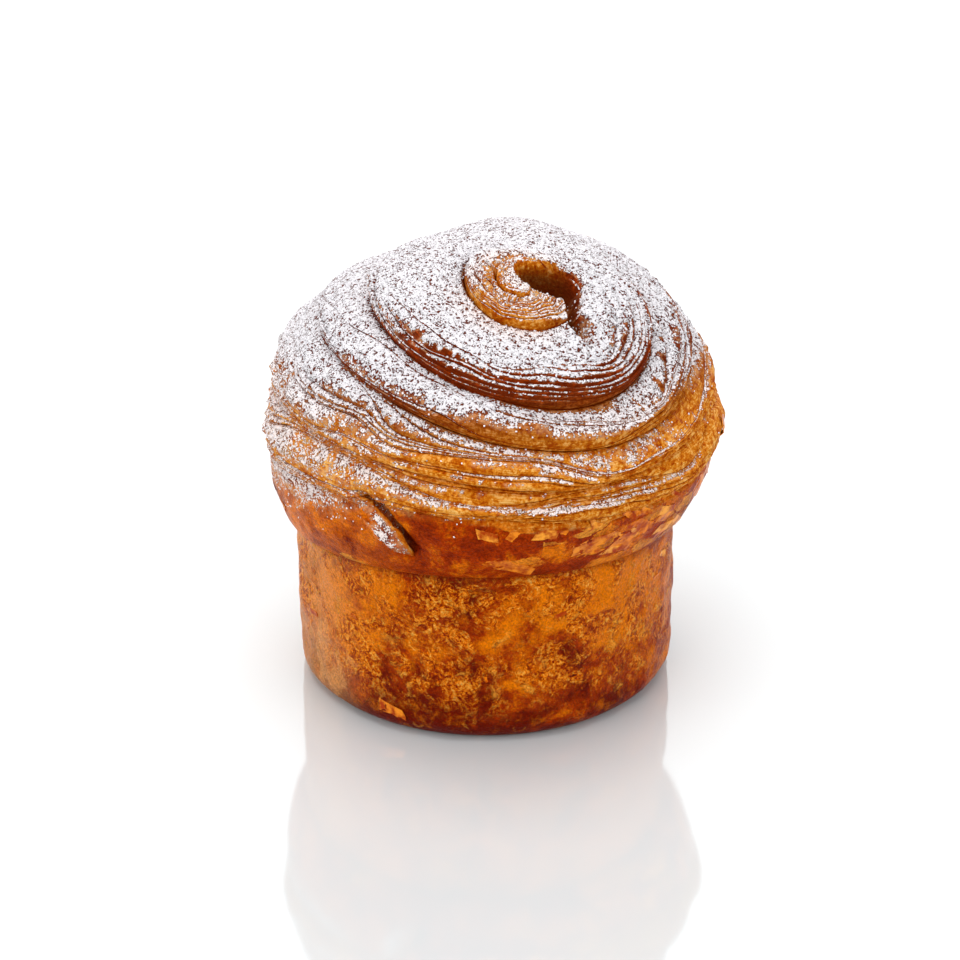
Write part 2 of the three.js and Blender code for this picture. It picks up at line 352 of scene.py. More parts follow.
def outward(places, spare):  # ways that face out of a grid of places; spare ones where rows meet
    faces = np.cross(np.gradient(places, axis=1), np.gradient(places, axis=0))
    length = np.linalg.norm(faces, axis=-1, keepdims=True)
    faces = np.where(length > 1e-5, faces / np.maximum(length, 1e-5), spare)
    return faces * np.sign(np.sum(faces * spare, axis=-1, keepdims=True))


def columnStarts():  # turning angles of the columns, from 0 to 360
    low, high = leaf.front
    inFront, behind = leaf.columns
    front = np.linspace(low, high, inFront, endpoint=False)
    rest = np.linspace(high, low + 360, behind, endpoint=False)
    every = np.sort(np.concatenate([front, rest]) % 360)
    return np.append(every, every[0] + 360)[:, None]


def uneven(kind, theta, *seeds):
    level, swing, span = kind
    return level + swing * noise(theta / span, *seeds)


def layerRows(start):  # share of its turn, turning angle, relief, shape and sugar line of each row
    rows, none = [], 0 * start
    for turn in range(form.firstTurn, form.lastTurn + 1):
        theta = start + 360 * turn
        edges = leafEdges(theta)
        turnWidth = np.maximum(0.05, seamRun(theta) - seamRun(theta - 360))
        for n in range(leafCount):
            low, high = edges[:, n:n + 1], edges[:, n + 1:n + 2]
            width = (high - low) * turnWidth
            size = np.minimum(leaf.mostRelief, leaf.relief * width)
            size = size * uneven(leaf.strength, theta, n * 5.3 + 9, 0.4)
            size = size * (1 + leaf.bold.relief * boldness(theta))
            line = np.clip(uneven(leaf.line, theta, n * 3.3 + 40, 0.7), 0.1, 1)
            for place, limit, height in leaf.rows:
                fray = uneven(leaf.fray, theta, n * 7.1, place * 3) if height > 0 else 1
                fromUpper = np.minimum(place, limit / width)
                fromLower = 1 - np.minimum(1 - place, limit / width)
                part = mix(low, high, fromUpper if place < 0.5 else fromLower)
                rows.append((part, theta, size * (height * fray - leaf.inset), height + none, line))
    rows.append((1 + none, start + 360 * form.lastTurn, none, none, none))
    return [np.concatenate(column, axis=1) for column in zip(*rows)]


def broadForm(run, start, theta, part, skin, x, y, z):  # the folds and the unevenness that the solid has too
    lobeHeight, lobeSize = form.lobes
    ridgeHeight, ridgeSpan, ridgeCount = form.ridges
    ridged = smooth(fades.ridgeStart, fades.ridgeStart + fades.ridge, run)
    ridged = ridged * (1 - smooth(0, fades.skin, skin)) * 4 * part * (1 - part)
    return (
        rollHeight(run, start) * smooth(0, fades.centre, run)
        + lobeHeight * noise(x / lobeSize + 3, y / lobeSize, z / lobeSize)
        + ridgeHeight * ridged * noise(part * ridgeCount, theta / ridgeSpan, 0.5)
        + splitHeight(x, y, z)
        - hip.depth * np.exp(-(((x - hip.x) / hip.size) ** 2) - ((y - hip.y) / hip.size) ** 2)
    )


def crownSurface():
    start = columnStarts()
    part, theta, relief, shape, line = layerRows(start)
    run = mix(seamRun(theta - 360), seamRun(theta), part)
    place, out = crownPlace(run, form.tipAngle - start)
    x, y, z = place[..., 0], place[..., 1], place[..., 2]
    skin, sunk, gap = run - skinRun(start), hollowDepth(x, y), slitDepth(x, y, z)
    lip = seamRun(start + 360 * form.lastTurn)
    fade = 1 - smooth(lip - fades.lip, lip, run)
    plain = place + out * (broadForm(run, start, theta, part, skin, x, y, z) * fade - sunk)[..., None]
    # the layers end at the skin, the hollow and the centre, and thick sugar fills them
    openness = outward(plain, out) @ dustFrom
    onRoll = 1 - smooth(*leaf.rollFade, np.hypot(x - dusting.rollX, y - dusting.rollY))
    layered = (1 - smooth(*leaf.skinFade, skin)) * (1 - smooth(*leaf.hollowFade, sunk))
    layered = layered * smooth(*leaf.centreFade, run)
    layered = layered * (1 - leaf.filled * smooth(*leaf.filledFade, openness) * (1 - onRoll))
    relief = relief * (1 + leaf.rollRelief * onRoll)
    lumps = sum(high * noise(x / size, y / size + 5, z / size + 9) for size, high in leaf.lumps)
    lumps = lumps * smooth(*leaf.skinFade, run) * mix(1, leaf.lumpsOnRoll, onRoll)
    fine = (relief * layered + lumps - gap) * fade
    facts = {"leafShape": shape * layered, "skin": smooth(*leaf.skinFade, skin), "sunk": sunk + gap,
             "openness": openness, "line": line, "run": run}
    return plain + out * fine[..., None], start[:, 0], facts


def addAttribute(mesh, name, values):
    layer = mesh.attributes.new(name, "FLOAT", "POINT")
    layer.data.foreach_set("value", np.ascontiguousarray(values, np.float32))


def readAll(items, name, width=1):  # one property of all the points, corners or attribute values
    values = np.empty(len(items) * width)
    items.foreach_get(name, values)
    return values.reshape(-1, width) if width > 1 else values


crownPlan = Values(weld=0.0002, lidShare=0.9, lidDrop=0.2)


def toMesh(bm, name):
    mesh = bpy.data.meshes.new(name)
    bm.to_mesh(mesh)
    bm.free()
    return mesh


def finishMesh(bm, name):  # its faces in a fixed order, so that every run gives the same mesh
    bmesh.ops.recalc_face_normals(bm, faces=bm.faces)
    bm.verts.index_update()
    count = len(bm.verts)

    def order(face):
        corners = [v.index for v in face.verts]
        return (min(corners) * count + max(corners)) * 1000 + sum(corners) % 1000

    bm.faces.sort(key=order)
    bm.faces.index_update()
    return toMesh(bm, name)


def thicken(bm, thickness, name):
    bmesh.ops.recalc_face_normals(bm, faces=bm.faces)
    bmesh.ops.solidify(bm, geom=bm.faces, thickness=thickness * mm)
    return finishMesh(bm, name)


def addGrid(bm, steps, size=1):
    return bmesh.ops.create_grid(bm, x_segments=steps[0], y_segments=steps[1], size=size)["verts"]


def addObject(name, data):
    made = bpy.data.objects.new(name, data)
    bpy.context.scene.collection.objects.link(made)
    return made


def surfaceOf(*meshes):  # something to cast rays at
    bm = bmesh.new()
    for mesh in meshes:
        bm.from_mesh(mesh)
    surface = BVHTree.FromBMesh(bm)
    bm.free()
    return surface


def seenLevel(surface, angle, height):  # the point met by a level ray from outside, and the way it faces
    c, s = math.cos(angle), math.sin(angle)
    found, facing, _, _ = surface.ray_cast(Vector((c * farOut, s * farOut, height)) * mm, Vector((-c, -s, 0)))
    return found, facing


def buildCrown():
    places, starts, facts = crownSurface()
    columns, rows = places.shape[0] - 1, places.shape[1] - 1
    bm = bmesh.new()
    addGrid(bm, (columns, rows))
    mesh = toMesh(bm, "flatCrown")
    flat = readAll(mesh.vertices, "co", 3)
    column = np.rint((flat[:, 0] + 1) / 2 * columns).astype(int)
    row = np.rint((flat[:, 1] + 1) / 2 * rows).astype(int)
    mesh.vertices.foreach_set("co", (places[column, row] * mm).ravel())
    for name, values in facts.items():
        addAttribute(mesh, name, values[column, row])
    # layer coordinates: radians along the roll, and millimetres across it
    corners = readAll(mesh.loops, "vertex_index").astype(int).reshape(-1, 4)
    turn = row[corners].min(axis=1) // rowsPerTurn
    sweep = starts[column[corners]] + 360 * (turn[:, None] + form.firstTurn)
    way = facts["run"][column[corners], row[corners]]
    layer = mesh.uv_layers.new(name="layers")
    layer.data.foreach_set("uv", np.stack([np.radians(sweep), way], -1).astype(np.float32).ravel())
    bm = bmesh.new()
    bm.from_mesh(mesh)
    bpy.data.meshes.remove(mesh)
    bmesh.ops.remove_doubles(bm, verts=bm.verts, dist=crownPlan.weld * mm)
    # the underside: a step inwards below the lip, then a flat lid inside the wall
    grown = bmesh.ops.extrude_edge_only(bm, edges=[e for e in bm.edges if e.is_boundary])
    for v in [g for g in grown["geom"] if isinstance(g, bmesh.types.BMVert)]:
        v.co.x *= crownPlan.lidShare
        v.co.y *= crownPlan.lidShare
        v.co.z -= crownPlan.lidDrop * mm
    bmesh.ops.holes_fill(bm, edges=[e for e in bm.edges if e.is_boundary], sides=0)
    mesh = finishMesh(bm, "crown")
    mesh.shade_smooth()
    return addObject("crown", mesh)


wallPlan = Values(
    steps=320,  # round the wall
    rows=52,  # up the wall
    roundRows=8,
    top=40.0,  # drawn this high, then cut to the lip
    overlap=1.0,  # reaches this far into the crown
    lidRadius=33.0,
    lumps=((3.6, 0.3), (1.5, 0.13)),  # size and height of the finer lumps
)


def buildWall():
    ring, foot = form.ringRadius, form.footRound
    profile = [(0, 0), ((ring - foot) * 0.5, 0)]
    for n in range(wallPlan.roundRows + 1):
        turn = quarter * n / wallPlan.roundRows
        profile.append((ring - foot + foot * math.sin(turn), foot * (1 - math.cos(turn))))
    top = wallPlan.top
    for n in range(1, wallPlan.rows + 1):
        profile.append((ring, mix(foot, top, n / wallPlan.rows)))
    profile += [(wallPlan.lidRadius, top), (0, top)]
    bm = bmesh.new()
    verts = [bm.verts.new((r * mm, 0, z * mm)) for r, z in profile]
    edges = [bm.edges.new(pair) for pair in zip(verts, verts[1:])]
    bmesh.ops.spin(bm, geom=verts + edges, axis=(0, 0, 1), cent=(0, 0, 0), angle=2 * math.pi,
                   steps=wallPlan.steps, use_merge=True)
    bmesh.ops.remove_doubles(bm, verts=bm.verts, dist=1e-6)
    mesh = finishMesh(bm, "wall")
    p = readAll(mesh.vertices, "co", 3) / mm
    radius = np.hypot(p[:, 0], p[:, 1])
    c, s = p[:, 0] / np.maximum(radius, 1e-6), p[:, 1] / np.maximum(radius, 1e-6)
    angle = np.degrees(np.arctan2(s, c))
    lip = lipAt(angle)
    share = (p[:, 2] - foot) / (top - foot)
    z = np.where(p[:, 2] < foot, p[:, 2], mix(foot, lip + wallPlan.overlap, share))
    near = smooth(0, foot, z) * (1 - smooth(lip - 2, lip, z)) * (radius > ring - foot * 1.01)
    high, size = form.dents
    lump = high * noise(ring * c / size + 40, ring * s / size, z / size)
    for size, high in wallPlan.lumps:
        lump = lump + high * noise(ring * c / size + 7, ring * s / size, z / size)
    radius = radius + near * lump
    mesh.vertices.foreach_set("co", (np.stack([radius * c, radius * s, z], -1) * mm).ravel())
    # how near the lip a point lies, for the painted shadow under its overhang
    addAttribute(mesh, "lipShadow", smooth(lip - 2.2, lip - 0.3, z))
    mesh.shade_smooth()
    return addObject("wall", mesh)


def pointNormals(mesh):  # added up in a fixed order, so that every run gives the same sugar
    p = readAll(mesh.vertices, "co", 3)
    mesh.calc_loop_triangles()
    corners = readAll(mesh.loop_triangles, "vertices", 3).astype(int)
    a, b, c = p[corners[:, 0]], p[corners[:, 1]], p[corners[:, 2]]
    faces = np.cross(b - a, c - a)
    total = np.zeros_like(p)
    for n in range(3):
        np.add.at(total, corners[:, n], faces)
    return total / np.maximum(np.linalg.norm(total, axis=1, keepdims=True), 1e-15)


def siftedShare(mesh, normals):  # how much of the falling sugar reaches each point
    surface = surfaceOf(mesh)
    ways = []
    for n, tilt in enumerate(dusting.tilts):
        turn, off = quarter * n + (0.4 if tilt > 30 else 0), math.radians(tilt)
        ways.append(Vector((math.sin(off) * math.cos(turn), math.sin(off) * math.sin(turn), math.cos(off))))
    shares = []
    for v, normal in zip(mesh.vertices, normals):
        start = v.co + Vector(normal) * (0.12 * mm)
        free = sum(surface.ray_cast(start, way, dusting.fall * mm)[0] is None for way in ways)
        shares.append(free / len(ways))
    return np.array(shares)


def addDusting(piece):
    mesh = piece.data
    p = readAll(mesh.vertices, "co", 3) / mm
    normals = pointNormals(mesh)
    fineUp = normals @ dustFrom
    broadUp, sunk, line, shape = [readAll(mesh.attributes[name].data, "value")
                                  for name in ("openness", "sunk", "line", "leafShape")]
    angle = np.degrees(np.arctan2(p[:, 1], p[:, 0]))
    roll = np.hypot(p[:, 0] - dusting.rollX, p[:, 1] - dusting.rollY)
    # thick where the form faces up, and in lines on the ledges of the layers
    amount = smooth(*dusting.facing, mix(fineUp, broadUp, dusting.broad))
    atRight = hump(angle - dusting.rightAngle, dusting.rightWidth)
    atRight = atRight * smooth(*dusting.rightHeights, p[:, 2])
    onLedge = smooth(*dusting.ledgeFacing, fineUp) * smooth(*dusting.ledgeSlope, broadUp) * line
    amount = np.maximum(amount, dusting.ledges * onLedge * (1 - dusting.atRight * atRight))
    patches = noise(*(p / dusting.patchSize).T)
    amount = np.clip(amount + dusting.patchy * patches * (amount > 0.02), 0, 1)
    amount = amount * (1 - dusting.inHollow * smooth(0.3, 2, sunk))
    amount = mix(amount, smooth(0.25, 0.75, amount), dusting.crisp)
    # less of it in the creases, below folds and on the roll's inner end
    amount = amount * (1 - dusting.inCrease * smooth(-0.2, -0.9, shape))
    amount = amount * smooth(0.1, 0.5, siftedShare(mesh, normals))
    raised = smooth(-0.15, 0.15, fineUp - broadUp)
    amount = amount * mix(dusting.onRoll * (0.5 + raised), 1, smooth(*dusting.rollEdge, roll))
    # the veil on the skin at the left
    veil = hump(offFrom(angle, dusting.veilAngle), dusting.veilWidth)
    veil = veil * smooth(*dusting.veilHeights, p[:, 2]) * smooth(-0.3, 0.3, fineUp)
    veil = veil * (0.75 + 0.6 * noise(*(p / 4).T))
    addAttribute(mesh, "dust", np.clip(np.maximum(amount, dusting.veil * veil), 0, dusting.most))
    golden = dusting.rollGold * smooth(*dusting.goldEdge, roll)
    addAttribute(mesh, "upper", smooth(*dusting.upper, p[:, 2]) * (1 - golden))
    addAttribute(mesh, "flaky", flaky.least + flaky.more * hump(angle - flaky.angle, flaky.width))


# Shader helpers.


def linear(*shade):  # a colour as seen on screen, 0 to 255, to scene values
    return tuple((c / 255) ** 2.2 for c in shade) + (1,)


def put(kind, sockets, tree=None, prefix="ShaderNode", **settings):  # a node, by default in its inputs' tree
    linked = {key: value for key, value in sockets.items() if isinstance(value, bpy.types.NodeSocket)}
    tree = tree or next(iter(linked.values())).id_data
    made = tree.nodes.new(prefix + kind)
    for name, value in settings.items():
        setattr(made, name, value)
    for key, value in sockets.items():
        if key in linked:
            tree.links.new(value, made.inputs[key])
        elif value is not None:
            made.inputs[key].default_value = value
    return made


def compute(operation, a, b=0.0):
    return put("Math", {0: a, 1: b}, operation=operation).outputs[0]


def times(a, b):
    return compute("MULTIPLY", a, b)


def colourOf(colour):  # a named colour of the crust, or a socket
    return crustColours[colour] if isinstance(colour, str) else colour


def blend(share, a, b, kind="MIX"):
    sockets = {0: share, 6: colourOf(a), 7: colourOf(b)}
    return put("Mix", sockets, data_type="RGBA", blend_type=kind).outputs[2]


def blendValue(share, a, b):
    return put("Mix", {0: share, 2: a, 3: b}, data_type="FLOAT").outputs[0]


def step(value, low, high, to=(0.0, 1.0)):  # a smooth step from low to high
    sockets = {"Value": value, "From Min": low, "From Max": high, "To Min": to[0], "To Max": to[1]}
    return put("MapRange", sockets, interpolation_type="SMOOTHSTEP").outputs[0]


def ramp(value, stops):
    made = put("ValToRGB", {0: value})
    elements = made.color_ramp.elements
    for n, (place, colour) in enumerate(stops):
        element = elements[n] if n < 2 else elements.new(place)
        element.position = place
        element.color = crustColours[colour]
    return made.outputs[0]


def speckle(vector, scale, detail=2.0, roughness=0.5, distortion=0.0):
    sockets = {"Vector": vector, "Scale": scale, "Detail": detail, "Roughness": roughness,
               "Distortion": distortion}
    return put("TexNoise", sockets).outputs["Fac"]


def attribute(tree, name):
    return put("Attribute", {}, tree, attribute_name=name).outputs["Fac"]


def objectPlace(tree):
    return put("TexCoord", {}, tree).outputs["Object"]


def newGroup(name, inputs, outputs, kind="Shader"):  # its sockets hold numbers, but for three kinds
    kinds = {"Vector": "NodeSocketVector", "Shade": "NodeSocketColor", "Geometry": "NodeSocketGeometry"}
    group = bpy.data.node_groups.new(name, kind + "NodeTree")
    for way, names in (("INPUT", inputs), ("OUTPUT", outputs)):
        for socket in names:
            group.interface.new_socket(socket, in_out=way, socket_type=kinds.get(socket, "NodeSocketFloat"))
    return group, group.nodes.new("NodeGroupInput").outputs


def useGroup(tree, group, sockets):
    return put("Group", sockets, tree, node_tree=group)


# Shared effects. Scales count features for each metre.


def makeCrumbGroup():  # the fine open grain of baked dough
    group, given = newGroup("bakedGrain", ("Scale",), ("Tone", "Height"))
    place, scale = objectPlace(group), given["Scale"]
    fine = speckle(place, scale, 3.0, 0.65)
    coarse = speckle(place, times(scale, 0.28), 2.0, 0.6, 0.6)
    tone = step(blendValue(0.45, fine, coarse), 0.36, 0.64)
    put("GroupOutput", {"Tone": tone, "Height": fine}, prefix="Node")
    return group


def makeGrainGroup():  # fine grain of the baked skin, as a shade to multiply by
    group, given = newGroup("skinGrain", ("Scale", "Darkest", "Lightest"), ("Shade",))
    fine = step(speckle(objectPlace(group), given["Scale"], 2.0, 0.6), 0.3, 0.7)
    shade = blendValue(fine, given["Darkest"], given["Lightest"])
    grey = put("CombineColor", {0: shade, 1: shade, 2: shade})
    put("GroupOutput", {"Shade": grey.outputs[0]}, prefix="Node")
    return group


def makeFlakeGroup():  # thin pale flakes of peeled skin with crisp edges
    group, given = newGroup("peeledFlakes", ("Vector", "Scale", "Amount"), ("Mask", "Tone"))
    way, scale = given["Vector"], given["Scale"]
    sockets = {"Vector": way, "Scale": times(scale, 1.6), "Detail": 3.0, "Roughness": 0.6}
    wobble = put("TexNoise", sockets).outputs["Color"]
    moved = put("VectorMath", {0: wobble, 1: (0.5, 0.5, 0.5)}, operation="SUBTRACT").outputs[0]
    reach = compute("DIVIDE", 0.9, scale)
    moved = put("VectorMath", {0: moved, "Scale": reach}, operation="SCALE").outputs[0]
    bent = put("VectorMath", {0: way, 1: moved}, operation="ADD").outputs[0]
    sockets = {"Vector": bent, "Scale": scale}
    cells = put("TexVoronoi", sockets)
    edge = put("TexVoronoi", sockets, feature="DISTANCE_TO_EDGE").outputs["Distance"]
    chosen = put("SeparateColor", {0: cells.outputs["Color"]})
    kept = compute("GREATER_THAN", chosen.outputs[0], compute("SUBTRACT", 1.0, given["Amount"]))
    mask = times(kept, step(edge, 0.02, 0.05))
    put("GroupOutput", {"Mask": mask, "Tone": chosen.outputs[1]}, prefix="Node")
    return group


def makeSugarGroup():  # sifted sugar: clumps and loose grains where the dust value says
    group, given = newGroup("siftedSugar", ("Dust", "Grain"), ("Mask", "Height"))
    place, dust, scale = objectPlace(group), given["Dust"], given["Grain"]
    fine = speckle(place, scale, 1.0, 0.5)
    clump = speckle(place, times(scale, 0.38), 1.0, 0.5)
    pile = step(blendValue(0.42, fine, clump), 0.34, 0.66)
    level = times(compute("ADD", dust, pile), 0.8)
    heaped = step(level, 0.9, 1.02)
    # loose grains: one in a cell, more often where there is more dust
    cells = put("TexVoronoi", {"Vector": place, "Scale": scale})
    chance = put("SeparateColor", {0: cells.outputs["Color"]}).outputs[0]
    often = times(compute("SUBTRACT", dust, 0.06), 0.8)
    present = compute("LESS_THAN", chance, often)
    loose = times(present, step(cells.outputs["Distance"], 0.5, 0.3))
    mask = compute("MAXIMUM", heaped, loose)
    rise = compute("ADD", times(pile, 0.7), 0.3)
    put("GroupOutput", {"Mask": mask, "Height": times(mask, rise)}, prefix="Node")
    return group


crumbGroup = makeCrumbGroup()
grainGroup = makeGrainGroup()
flakeGroup = makeFlakeGroup()
sugarGroup = makeSugarGroup()

crustColours = {name: linear(*shade) for name, shade in {
    "creaseAndShade": (124, 42, 0),
    "dark": (148, 52, 0),
    "brown": (186, 96, 14),
    "gold": (212, 130, 36),
    "pale": (242, 188, 106),
    "baked": (84, 24, 3),
    "bakedMid": (106, 40, 14),
    "bakedPale": (200, 112, 52),
    "skin": (156, 52, 0),
    "skinDark": (102, 22, 0),
    "skinLight": (226, 118, 6),
    "flake": (240, 160, 58),
    "hollowShade": (84, 32, 14),
    "film": (218, 164, 118),
    "shade": (92, 50, 42),
    "sugar": (234, 231, 235),
    "sugarWarmBounce": (249, 233, 228),
    "paintedSheen": (240, 168, 100),
    "glint": (255, 208, 150),
}.items()}


def newMaterial(name):
    material = bpy.data.materials.new(name)
    material.use_nodes = True
    material.node_tree.nodes.clear()
    return material, material.node_tree


def finishMaterial(tree, colour, roughness, normal=None, shine=None, index=None):
    sockets = {"Base Color": colourOf(colour), "Roughness": roughness, "Normal": normal, "IOR": index,
               "Specular IOR Level": shine, "Specular Tint": colourOf("glint") if shine else None}
    surface = put("BsdfPrincipled", sockets, tree)
    put("OutputMaterial", {"Surface": surface.outputs[0]})


def bump(height, distance, strength=1.0, normal=None):
    sockets = {"Height": height, "Distance": distance, "Strength": strength, "Normal": normal}
    return put("Bump", sockets).outputs[0]


def makeCrownMaterial():
    material, tree = newMaterial("layeredCrust")
    place = objectPlace(tree)
    layers = put("UVMap", {}, tree, uv_map="layers").outputs[0]
    shape, skin, upper = attribute(tree, "leafShape"), attribute(tree, "skin"), attribute(tree, "upper")
    # cut layers: a fine crumb, with streaks that run along them
    stretched = put("Mapping", {"Vector": layers, "Scale": (5.0, 2.8, 1.0)}).outputs[0]
    streak = speckle(stretched, 1.0, 3.0, 0.65)
    crumb = useGroup(tree, crumbGroup, {"Scale": 1500.0})
    tone = blendValue(0.65, step(streak, 0.25, 0.75), crumb.outputs["Tone"])
    golden = ramp(tone, [(0.1, "dark"), (0.34, "brown"), (0.6, "gold"), (0.9, "pale")])
    bakedTone = blendValue(0.45, step(streak, 0.25, 0.75), crumb.outputs["Tone"])
    baked = ramp(bakedTone, [(0.1, "baked"), (0.5, "bakedMid"), (0.8, "dark"), (1.0, "bakedPale")])
    dough = blend(upper, golden, baked)
    # darker in the creases: partly the dough's own colour, partly painted shade under each layer
    dough = blend(step(shape, 0.25, -0.5), dough, "creaseAndShade")
    # smooth skin below the layers, with pale flakes, painted lighter towards the left as light from that side
    low = speckle(place, 130.0, 6.0, 0.72, 0.2)
    skinTone = ramp(low, [(0.34, "skinDark"), (0.5, "skin"), (0.66, "skinLight")])
    leftward = times(put("SeparateXYZ", {0: place}).outputs[0], -1.0)
    leftLitShare = times(step(leftward, 0.006, 0.036, (0.0, 1.1)), step(low, 0.3, 0.7))
    skinTone = blend(leftLitShare, skinTone, "skinLight")
    slanted = put("Mapping", {"Vector": place, "Rotation": (0.0, 0.35, 0.0), "Scale": (1.0, 1.0, 2.4)})
    sockets = {"Vector": slanted.outputs[0], "Scale": 150.0, "Amount": attribute(tree, "flaky")}
    flakes = useGroup(tree, flakeGroup, sockets)
    flakeTone = blend(flakes.outputs["Tone"], "skinLight", "flake")
    cloudy = step(speckle(place, 420.0, 3.0, 0.6), 0.3, 0.7, (0.25, 0.8))
    skinTone = blend(times(flakes.outputs["Mask"], cloudy), skinTone, flakeTone)
    grain = useGroup(tree, grainGroup, {"Scale": 2400.0, "Darkest": 0.66, "Lightest": 1.2}).outputs["Shade"]
    skinTone = blend(1.0, skinTone, grain, "MULTIPLY")
    crust = blend(skin, dough, skinTone)
    # painted shade: darker the deeper it lies in the hollow and the slit
    crust = blend(step(attribute(tree, "sunk"), 0.6, 3.5, (0.0, 0.8)), crust, "hollowShade")
    # a thin film of sugar, then the heaps: what shows between heaps is dark, partly darker crust and partly
    # painted shade among the heaps
    dust = attribute(tree, "dust")
    film = times(step(dust, 0.04, 0.3), step(dust, 0.75, 0.45))
    cloud = step(speckle(place, 700.0, 4.0, 0.7), 0.38, 0.62, (0.0, 0.5))
    crust = blend(times(film, cloud), crust, "film")
    crust = blend(step(dust, 0.45, 0.9, (0.0, 0.8)), crust, "shade")
    sugar = useGroup(tree, sugarGroup, {"Dust": dust, "Grain": 2500.0})
    # the lower sugar is painted warmer, as light bounced from the crust
    white = blend(upper, "sugarWarmBounce", "sugar")
    colour = blend(sugar.outputs["Mask"], crust, white)
    roughness = blendValue(sugar.outputs["Mask"], blendValue(skin, 0.6, 0.34), 0.9)
    normal = bump(crumb.outputs["Height"], 0.45 * mm, 0.8)
    normal = bump(streak, 0.3 * mm, 0.5, normal)
    normal = bump(flakes.outputs["Mask"], 0.15 * mm, 0.5, normal)
    normal = bump(sugar.outputs["Height"], 0.5 * mm, 1.0, normal)
    finishMaterial(tree, colour, roughness, normal, shine=0.05)
    return material


# A painted sheen low on the wall at the left: its middle, radius, raggedness and share
sheenPatch = Values(middle=(-0.032, -0.022, 0.0095), radius=0.0175, ragged=0.02, share=0.5)  # metres


def makeWallMaterial():
    material, tree = newMaterial("ringCrust")
    place = objectPlace(tree)
    apart = put("SeparateXYZ", {0: place})
    height, sideways = apart.outputs[2], compute("ABSOLUTE", apart.outputs[0])
    leftward = times(apart.outputs[0], -1.0)
    # smooth caramel glaze, darker low down, with painted rim light that makes it lighter at the sides and a
    # painted sheen at the left edge
    broad = speckle(place, 70.0, 6.0, 0.7, 0.2)
    broad = compute("ADD", broad, step(height, 0.002, 0.024, (-0.14, 0.02)))
    # painted rim light: lighter towards both sides
    broad = compute("ADD", broad, step(sideways, 0.012, 0.034, (0.0, 0.1)))
    glazeAndPaintedLight = ramp(broad, [(0.4, "skinDark"), (0.5, "skin"), (0.6, "skinLight")])
    cloud = speckle(place, 330.0, 5.0, 0.75, 0.3)
    glazeAndPaintedLight = blend(step(cloud, 0.5, 0.75, (0.0, 0.6)), glazeAndPaintedLight, "skinLight")
    # a painted sheen along the left edge
    glazeAndPaintedLight = blend(step(leftward, 0.02, 0.037, (0.0, 0.5)), glazeAndPaintedLight, "paintedSheen")
    # a painted sheen: a smooth pale patch low down at the left
    away = put("VectorMath", {0: place, 1: sheenPatch.middle}, operation="DISTANCE").outputs["Value"]
    rough = times(speckle(place, 190.0, 4.0, 0.6), sheenPatch.ragged)
    away = compute("ADD", away, rough)
    sheenShare = step(away, sheenPatch.radius, sheenPatch.radius - 0.002, (0.0, sheenPatch.share))
    sheenShare = times(sheenShare, step(speckle(place, 330.0, 4.0, 0.7), 0.3, 0.6))
    # open golden crumb in patches
    fine = speckle(place, 1150.0, 4.0, 0.75, 1.2)
    holes = speckle(place, 420.0, 3.0, 0.7, 2.2)
    tone = blendValue(0.5, fine, holes)
    stops = [(0.33, "baked"), (0.4, "skinDark"), (0.46, "skin"), (0.52, "skinLight")]
    crumb = ramp(tone, stops + [(0.58, "flake"), (0.68, "pale")])
    patches = speckle(place, 120.0, 6.0, 0.75, 0.8)
    openness = times(step(patches, 0.46, 0.57), step(height, 0.004, 0.012))
    crust = blend(times(openness, 0.85), glazeAndPaintedLight, crumb)
    blister = step(speckle(place, 260.0, 4.0, 0.65, 0.6), 0.58, 0.72)
    crust = blend(times(blister, 0.55), crust, "flake")
    crust = blend(sheenShare, crust, "paintedSheen")
    # painted shadow: darker just under the lip's overhang
    crust = blend(times(attribute(tree, "lipShadow"), 0.5), crust, "skinDark")
    grain = useGroup(tree, grainGroup, {"Scale": 2400.0, "Darkest": 0.74, "Lightest": 1.18}).outputs["Shade"]
    crust = blend(1.0, crust, grain, "MULTIPLY")
    normal = bump(tone, 0.9 * mm, 0.9)
    normal = bump(blister, 0.6 * mm, 0.6, normal)
    normal = bump(patches, 1.6 * mm, 0.6, normal)
    finishMaterial(tree, crust, 0.28, normal, shine=0.06)
    return material


def makePeelMaterial():
    material, tree = newMaterial("paperyFlake")
    place = objectPlace(tree)
    tone = speckle(place, 500.0, 3.0, 0.6)
    each = attribute(tree, "tone")
    light = blend(each, "skinLight", "flake")
    colour = blend(step(tone, 0.35, 0.65), light, "skin")
    normal = bump(tone, 0.2 * mm, 0.6)
    finishMaterial(tree, colour, 0.3, normal, shine=0.18)
    return material


def makeGrainMaterial():
    material, tree = newMaterial("sugarGrain")
    finishMaterial(tree, "sugar", 0.6)
    return material


# Papery flakes that peel off the skin and the wall.
peels = Values(
    seed=7,
    thickness=0.14,
    gap=0.02,
    steps=(6, 3),  # faces along and across a flake
    ragged=0.55,  # how far its corners stray
    # direction and height of the middle, spread of both, number, shortest and longest, lift of the free edge
    fields=(
        (-36, 42.0, 28, 4.0, 24, 2.5, 7.0, 0.2),
        (-64, 46.6, 34, 0.5, 12, 1.5, 4.0, 0.35),
        (-90, 20.0, 70, 12.0, 8, 1.0, 2.5, 0.15),
        (100, 40.0, 100, 5.0, 30, 2.0, 6.0, 0.2),
    ),
    # single flakes: direction, height, length, width, turn in degrees, lift
    single=(
        (-84, 39.5, 9.0, 3.0, -22, 0.2),
        (-62, 42.6, 8.0, 2.4, 14, 0.25),
        (-118, 4.5, 6.0, 2.2, -12, 0.3),
        (-10, 50.5, 6.5, 3.0, 80, 0.8),
        (38, 83.0, 6.5, 3.6, -40, 1.1),
    ),
)


